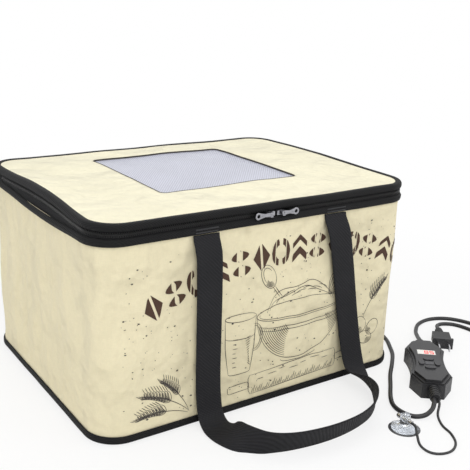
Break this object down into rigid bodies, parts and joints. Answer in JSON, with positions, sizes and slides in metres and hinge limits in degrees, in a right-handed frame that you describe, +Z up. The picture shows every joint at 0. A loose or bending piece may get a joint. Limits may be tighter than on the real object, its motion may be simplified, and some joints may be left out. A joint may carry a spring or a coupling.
{
  "type": "folding dough proofer",
  "caption": "Soft insulated box bag with a zipped window lid, webbing handles, inner heating mat and a corded hand controller with probe, for proofing dough.",
  "frame": {"origin": "centre of the bag's base at floor level", "axes": "+Z up, front with the zipper sliders towards -Y, right side with the mat lead towards +X"},
  "size_m": [0.581, 0.6077, 0.2307],
  "materials": {
    "cream_cloth": "woven canvas",
    "lid_cloth": "woven canvas",
    "black_webbing": "twill webbing",
    "stitching": "thread",
    "foam": "closed cell foam",
    "foil": "foil faced film",
    "board": "stiff board",
    "window": "patterned clear film",
    "hem": "tape",
    "gunmetal": "dark plated",
    "mat": "matt",
    "case": "satin moulded",
    "display": "backlit pane",
    "digits": "lit",
    "keys": "moulded",
    "board_green": "circuit board",
    "steel": "plain",
    "cord": "smooth",
    "cup": "clear soft plastic"
  },
  "bodies": {
    "base": {"bottom_panel": "cream_cloth", "base_board": "board", "bottom_binding": "black_webbing", "outer_cloth": "cream_cloth", "foam_front": "foam", "foam_back": "foam", "foam_left": "foam", "foam_right": "foam", "foam_corners": "foam", "foil_lining": "foil", "heating_mat": "mat", "mat_gland": "mat", "cable_grommet": "mat", "case_lower": "case", "case_upper": "case", "display_window": "display", "display_digits": "digits", "key_pad": "keys", "circuit_board": "board_green", "case_screws": "steel", "relief_top": "cord", "relief_bottom": "cord", "mat_cord": "cord", "probe_lead": "cord", "probe_tip": "steel", "suction_cup": "cup", "power_cord": "cord", "power_coil": "cord", "plug_cord": "cord", "plug_body": "cord", "plug_blades": "steel"},
    "rim": {"rim_band": "black_webbing", "rim_core": "black_webbing", "rim_zip_tape": "black_webbing", "rim_teeth": "gunmetal", "rim_hinge_tape": "black_webbing", "strap_tacks_front": "stitching", "strap_tacks_back": "stitching"},
    "lid": {"lid_core": "foam", "lid_cloth": "lid_cloth", "lid_lining": "foil", "lid_binding": "black_webbing", "window_pane": "window", "window_hem": "hem", "lid_zip_tape": "black_webbing", "lid_teeth": "gunmetal", "lid_hinge_tape": "black_webbing"},
    "front_handle": {"front_handle": "black_webbing"},
    "back_handle": {"back_handle": "black_webbing"},
    "slider_left": {"slider_left": "gunmetal"},
    "slider_right": {"slider_right": "gunmetal"},
    "pull_left": {"pull_left": "gunmetal"},
    "pull_right": {"pull_right": "gunmetal"},
    "button_power": {"button_power": "keys"},
    "button_down": {"button_down": "keys"},
    "button_up": {"button_up": "keys"},
    "button_set": {"button_set": "keys"}
  },
  "joints": [
    {"name": "collapse", "type": "slide", "parent": "base", "child": "rim", "axis": [0, 0, -1], "range_m": [0, 0.15], "deforming": ["outer_cloth", "foam_front", "foam_back", "foam_left", "foam_right", "foam_corners", "foil_lining"]},
    {"name": "lid_hinge", "type": "hinge", "parent": "rim", "child": "lid", "pos_m": [0, 0.1578, 0.2188], "axis": [-1, 0, 0], "range_deg": [0, 165]},
    {"name": "front_handle_swing", "type": "hinge", "parent": "rim", "child": "front_handle", "pos_m": [0, -0.1589, 0.2085], "axis": [-1, 0, 0], "range_deg": [0, 165]},
    {"name": "back_handle_swing", "type": "hinge", "parent": "rim", "child": "back_handle", "pos_m": [0, 0.1589, 0.2085], "axis": [-1, 0, 0], "range_deg": [-165, 0]},
    {"name": "slider_left_run", "type": "slide", "parent": "rim", "child": "slider_left", "axis": [1, 0, 0], "range_m": [-0.15, 0]},
    {"name": "slider_right_run", "type": "slide", "parent": "rim", "child": "slider_right", "axis": [1, 0, 0], "range_m": [0, 0.15]},
    {"name": "pull_left_swing", "type": "hinge", "parent": "slider_left", "child": "pull_left", "pos_m": [-0.0079, -0.1606, 0.2191], "axis": [0, 0, 1], "range_deg": [0, 110]},
    {"name": "pull_right_swing", "type": "hinge", "parent": "slider_right", "child": "pull_right", "pos_m": [0.0079, -0.1606, 0.2191], "axis": [0, 0, 1], "range_deg": [-110, 0]},
    {"name": "button_power_press", "type": "slide", "parent": "base", "child": "button_power", "axis": [0, 0, -1], "range_m": [0, 0.001], "stiffness_N_per_m": 300, "springref_m": -0.0005},
    {"name": "button_down_press", "type": "slide", "parent": "base", "child": "button_down", "axis": [0, 0, -1], "range_m": [0, 0.001], "stiffness_N_per_m": 300, "springref_m": -0.0005},
    {"name": "button_up_press", "type": "slide", "parent": "base", "child": "button_up", "axis": [0, 0, -1], "range_m": [0, 0.001], "stiffness_N_per_m": 300, "springref_m": -0.0005},
    {"name": "button_set_press", "type": "slide", "parent": "base", "child": "button_set", "axis": [0, 0, -1], "range_m": [0, 0.001], "stiffness_N_per_m": 300, "springref_m": -0.0005}
  ]
}
